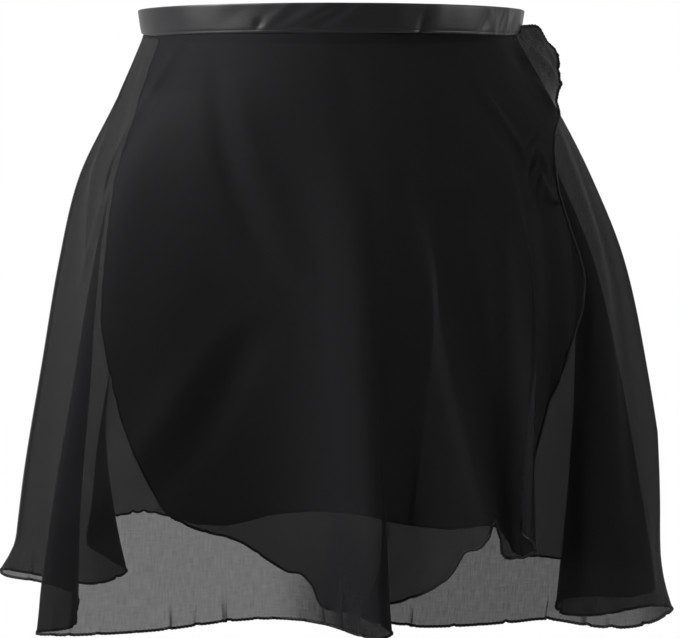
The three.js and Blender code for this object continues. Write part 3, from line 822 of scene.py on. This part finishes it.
# Waves and dents of the ribbon's face: slant is how far one turns round the waist on its way up
RIBBON_WAVES = table(
    "wind up out reach tall slant",
    (284, 0.2, 0.5, 7, 1.2, 2), (303, -0.3, -0.4, 6, 1, 3), (318, 0.2, 0.5, 8, 1, -3),
    (331, 0.3, -0.5, 5, 0.9, 4), (340, -0.4, -1.1, 1.3, 0.3, 1.5), (344, 0.1, 0.6, 2.6, 0.9, 5),
    (353, 0.2, 0.9, 4.5, 1, 7), (359, 0.2, -0.8, 3.5, 1, 5), (364, 0.5, 0.7, 1.6, 0.5, 5),
    (368, 0, -0.7, 4.5, 1.2, 0), (378, 0, 0.7, 4, 1.4, 0), (386.5, -0.5, -1.3, 1.1, 0.7, 1),
    (391, 0, 0.7, 3.5, 1.3, 1), (402, 0.1, 0.5, 7, 1.2, 0), (410, -0.3, -0.9, 1.8, 0.8, 2),
    (414, 0, 0.8, 1.8, 1, -1), (418.5, -0.2, -0.8, 1.4, 0.9, 1), (422, 0.1, 0.8, 1.8, 1, 0),
    (427, -0.3, -0.7, 1.8, 0.8, 1), (434, 0, 0.6, 3, 1.2, 0), (100, 0, 0.6, 6, 1, 3),
    (117, -0.2, -0.7, 3, 0.8, 2), (133, 0.1, 0.5, 6, 1, -3), (149, -0.2, -0.6, 3, 0.9, 2),
    (162, 0, 0.5, 3, 1, 2), (199, 0.1, 0.6, 3, 1, -2), (214, -0.3, -0.8, 2.5, 0.7, 2),
    (231, 0, 0.6, 6, 1.1, 3), (247, -0.2, -0.7, 3, 0.8, -2), (472, 0, 0.6, 5, 1, 3),
    (489, -0.1, -0.7, 3, 0.9, -2), (503, 0, 0.6, 5, 1, 2), (518, 0, -0.8, 3, 1.1, 2),
)


def ribbon_ring(wind, lap, height_scale):
    """One closed section of the folded ribbon at a wind: round at its lower and upper edges."""
    height = np.array(RIBBON_FACE + RIBBON_FACE[-2:0:-1])
    outer = np.arange(len(height)) < len(RIBBON_FACE)
    depth = np.where(outer, 1, -1) * RIBBON_WALL / 2 * np.sqrt(1 - height**EDGE_SQUARENESS)
    groove = STITCH_DEPTH * np.exp(-(((height - STITCH_HEIGHT) / STITCH_WIDTH) ** 2))
    depth = depth - np.where(outer, groove, 0)
    flare = RIBBON_FLARE * (height + 1) / 2
    swell = np.zeros_like(height)
    for row in RIBBON_WAVES:
        across = (wind - row["wind"] - row["slant"] * height) / row["reach"]
        swell = swell + row["out"] * np.exp(-(across**2) - ((height - row["up"]) / row["tall"]) ** 2)
    past = (wind - RIGHT_SEAM) % (LEFT_SEAM - RIGHT_SEAM)
    to_side = min(past, LEFT_SEAM - RIGHT_SEAM - past)
    raised = SIDE_LIFT * max(0.0, 1 - to_side / SIDE_LIFT_ARC) ** 1.5 * height_scale
    level = height * height_scale * RIBBON_HEIGHT / 2 + raised * (1 - height) / 2
    at = np.full(len(height), float(wind))
    x, y = form_point(at, np.zeros(len(height)), lap + flare + depth + swell)
    return np.stack([x, y, level], -1) * MM


def straight(stops, wind):
    """The value at a wind on straight lines between the stops."""
    return float(np.interp(wind, [s[0] for s in stops], [s[1] for s in stops]))


def gathered(wind):
    """How much of its height the ribbon keeps near the knot."""
    turns = (wind - KNOT_WIND) / FULL_TURN
    away = abs(turns - round(turns)) * FULL_TURN
    return 1 - TIE_NARROW * max(0.0, 1 - away / TIE_GATHER_ARC) ** 2


def ribbon_piece(name, start, end, stops, material, tie_from=None):
    """A stretch of folded ribbon between two winds, gathered to a tie where it starts to be one."""
    rings = []
    for wind in np.linspace(start, end, int((end - start) / RIBBON_STEP) + 1):
        tie = tie_from is not None and wind > tie_from
        rings.append(ribbon_ring(wind, straight(stops, wind), gathered(wind) if tie else 1))
    return loft(name, np.array(rings), material)


class SkirtClothSettings(bpy.types.PropertyGroup):
    """Sizes and colours of the chiffon."""

    thickness: bpy.props.FloatProperty(
        name="Thickness", description="Thickness of the chiffon", default=0.0004, unit="LENGTH"
    )
    cover: bpy.props.FloatProperty(
        name="Cover", description="Share of light that one face of the cloth stops", default=0.61,
        min=0, max=1, subtype="FACTOR",
    )
    least_facing: bpy.props.FloatProperty(
        name="Least facing", description="How far folds can turn before they look no denser", default=0.4,
        min=0.05, max=1, subtype="FACTOR",
    )
    unevenness: bpy.props.FloatProperty(
        name="Unevenness", description="How much the weave varies from place to place", default=0.07,
        min=0, max=1, subtype="FACTOR",
    )
    colour_hex: bpy.props.IntProperty(
        name="Colour", description="sRGB hex colour of the chiffon", default=0x17181B
    )
    thread_hex: bpy.props.IntProperty(
        name="Thread", description="sRGB hex colour of the thread", default=0x121214
    )
    hem_radius: bpy.props.FloatProperty(
        name="Hem radius", description="Radius of the rolled hem", default=0.00085, unit="LENGTH"
    )
    stitch_pitch: bpy.props.FloatProperty(
        name="Stitch pitch", description="Spacing of the hem's stitches", default=0.0024, unit="LENGTH"
    )


class SkirtRibbonSettings(bpy.types.PropertyGroup):
    """Sizes and colours of the ribbon."""

    colour_hex: bpy.props.IntProperty(
        name="Colour", description="sRGB hex colour of the ribbon", default=0x18191D
    )


class SkirtStageSettings(bpy.types.PropertyGroup):
    """Sizes of the stage and the camera's lens."""

    floor_level: bpy.props.FloatProperty(
        name="Floor level", description="Height of the floor under the waist", default=-1.0, unit="LENGTH"
    )
    floor_radius: bpy.props.FloatProperty(
        name="Floor radius", description="Radius of the floor", default=1.2, unit="LENGTH"
    )
    lens: bpy.props.FloatProperty(
        name="Lens", description="Focal length in mm", default=91.0, unit="CAMERA"
    )


class SKIRT_OT_chiffon_panels(bpy.types.Operator):
    """Hang the three chiffon panels from the waist"""

    bl_idname = "skirt.chiffon_panels"
    bl_label = "Chiffon panels"

    def execute(self, context):
        cloth = context.scene.skirt_cloth
        material = material_once("black polyester chiffon", chiffon_material, cloth)
        for panel in PANELS:
            points, normals, flat, cover = panel_grid(panel)
            GRIDS[panel.name] = points, normals
            columns, rows = points.shape[:2]
            piece = new_piece(
                f"{panel.name}_cloth", points.reshape(-1, 3), grid_faces(columns, rows), material,
                flat.reshape(-1, 2), cover.ravel(),
            )
            thicken(piece, cloth.thickness)
            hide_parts(panel.name)
        return {"FINISHED"}


class SKIRT_OT_rolled_hems(bpy.types.Operator):
    """Roll and overlock every free edge of the chiffon"""

    bl_idname = "skirt.rolled_hems"
    bl_label = "Rolled hems"

    def execute(self, context):
        cloth = context.scene.skirt_cloth
        material = material_once("black overlock thread", thread_material, cloth)
        for panel in PANELS:
            path, normals = free_edge(panel)
            rings = rope_rings(path, normals, cloth.hem_radius, cloth.stitch_pitch)
            hem = loft(f"{panel.name}_rolled_hem", rings, material)
        return {"FINISHED"}


class SKIRT_OT_ribbon_waist(bpy.types.Operator):
    """Fold the satin ribbon over the top of the panels and tie its ends"""

    bl_idname = "skirt.ribbon_waist"
    bl_label = "Ribbon waist"

    def execute(self, context):
        satin = material_once("black satin ribbon", satin_material, context.scene.skirt_ribbon)
        flat_laps = (
            (RIGHT_SEAM, 0), (LEFT_SEAM, WAIST_LAP), (RIBBON_END_WIND, WAIST_LAP), (KNOT_WIND, TIE_LAP),
        )
        slot_end = SLOT_WIND - SLOT_ARC
        inside = WAIST_LAP - RIBBON_WALL - SEAM_GAP - UNDER_TIE_EASE
        knot_wind, under_wind = KNOT_WIND - FULL_TURN, UNDER_RIBBON_WIND + FULL_TURN
        under_laps = (
            (knot_wind, TIE_LAP), (slot_end + SLOT_EASE, TIE_LAP),
            (SLOT_WIND - SLOT_EASE, inside), (under_wind, 0),
        )
        first = ribbon_piece("waist_ribbon_first_turn", UNDER_RIBBON_WIND, slot_end, flat_laps, satin)
        second = ribbon_piece(
            "waist_ribbon_second_turn", SLOT_WIND, KNOT_WIND - KNOT_ARC, flat_laps, satin, RIBBON_END_WIND
        )
        under = ribbon_piece(
            "tie_under_ribbon", knot_wind + KNOT_ARC, under_wind, under_laps, satin, knot_wind
        )
        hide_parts("waist_ribbon_under", "waist_ribbon_back")
        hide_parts("waist_ribbon_over", "tie_over")
        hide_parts("tie_under")
        return {"FINISHED"}


class SKIRT_OT_knot(bpy.types.Operator):
    """Tie the flat knot at the middle of the back"""

    bl_idname = "skirt.knot"
    bl_label = "Knot"

    def execute(self, context):
        satin = material_once("black satin ribbon", satin_material, context.scene.skirt_ribbon)
        low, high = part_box("tie_knot")
        bpy.ops.object.select_all(action="DESELECT")
        bpy.ops.mesh.primitive_uv_sphere_add(segments=48, ring_count=24, location=(0, 0, 0))
        knot = context.object
        knot.name = "knot"
        centre, half = (low + high) / 2, (high - low) / 2
        # The ribbon wraps over the knot in slanting pleats and draws it in round its middle
        for vertex in knot.data.vertices:
            x, y, z = vertex.co
            turn = KNOT_PLEATS * math.pi * (x - KNOT_PLEAT_SLANT * z)
            pleat = 1 + KNOT_PLEAT_DEPTH * math.cos(turn) * (1 - z * z)
            wide = 1 - KNOT_WAIST * math.exp(-((z / KNOT_WAIST_SPAN) ** 2))
            vertex.co = (
                centre.x + half.x * KNOT_FULLNESS * x * wide,
                centre.y + half.y * KNOT_FULLNESS * y * pleat,
                centre.z + half.z * KNOT_FULLNESS * z,
            )
        knot.data.uv_layers[0].name = "cloth"
        knot.data.materials.append(satin)
        knot.data.shade_smooth()
        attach(knot, "root")
        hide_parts("tie_knot")
        return {"FINISHED"}


class SKIRT_OT_stage(bpy.types.Operator):
    """Place the camera, the pale floor and the soft studio light"""

    bl_idname = "skirt.stage"
    bl_label = "Stage"

    def execute(self, context):
        stage = context.scene.skirt_stage
        bpy.ops.object.select_all(action="DESELECT")
        bpy.ops.object.camera_add(location=CAMERA_PLACE, rotation=(math.radians(CAMERA_TILT), 0, 0))
        camera = context.object
        camera.data.lens = stage.lens
        camera.data.sensor_width = SENSOR_WIDTH
        context.scene.camera = camera
        bpy.ops.mesh.primitive_circle_add(
            vertices=96, radius=stage.floor_radius, fill_type="NGON", location=(0, 0, stage.floor_level)
        )
        floor = context.object
        floor.name = "floor"
        paint, tree = new_material("matt white paint")
        shader = add_node(tree, "ShaderNodeBsdfPrincipled", {"Base Color": FLOOR_PAINT, "Roughness": 0.9})
        add_node(tree, "ShaderNodeOutputMaterial", None, {"Surface": shader.outputs["BSDF"]})
        floor.data.materials.append(paint)
        for row in LIGHTS:
            turn = [math.radians(angle) for angle in row["turn"]]
            bpy.ops.object.light_add(type="AREA", location=row["place"], rotation=turn)
            lamp = context.object
            lamp.name = f"{row['name']} light"
            lamp.data.size = row["size"]
            lamp.data.energy = row["power"]
        context.scene.world = studio_world()
        context.scene.view_settings.view_transform = "Standard"
        return {"FINISHED"}


class SKIRT_PT_sidebar(bpy.types.Panel):
    """Lists the skirt's settings and steps"""

    bl_label = "Ballet wrap skirt"
    bl_idname = "SKIRT_PT_sidebar"
    bl_space_type = "VIEW_3D"
    bl_region_type = "UI"
    bl_category = "Skirt"

    def draw(self, context):
        for settings in (context.scene.skirt_cloth, context.scene.skirt_ribbon, context.scene.skirt_stage):
            for name in settings.__annotations__:
                self.layout.prop(settings, name)
        for step in STEPS:
            self.layout.operator(step.bl_idname)


SETTINGS = {
    "skirt_cloth": SkirtClothSettings,
    "skirt_ribbon": SkirtRibbonSettings,
    "skirt_stage": SkirtStageSettings,
}
STEPS = (
    SKIRT_OT_stage,
    SKIRT_OT_chiffon_panels,
    SKIRT_OT_rolled_hems,
    SKIRT_OT_ribbon_waist,
    SKIRT_OT_knot,
)


def register():
    for name, group in SETTINGS.items():
        bpy.utils.register_class(group)
        setattr(bpy.types.Scene, name, bpy.props.PointerProperty(type=group))
    for kind in (*STEPS, SKIRT_PT_sidebar):
        bpy.utils.register_class(kind)


def unregister():
    for kind in reversed((*STEPS, SKIRT_PT_sidebar)):
        bpy.utils.unregister_class(kind)
    for name, group in SETTINGS.items():
        delattr(bpy.types.Scene, name)
        bpy.utils.unregister_class(group)


def main():
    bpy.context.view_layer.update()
    register()
    for step in (
        bpy.ops.skirt.stage, bpy.ops.skirt.chiffon_panels, bpy.ops.skirt.rolled_hems,
        bpy.ops.skirt.ribbon_waist, bpy.ops.skirt.knot,
    ):
        if step() != {"FINISHED"}:
            raise RuntimeError("a step of the skirt did not finish")


if __name__ == "__main__":
    main()
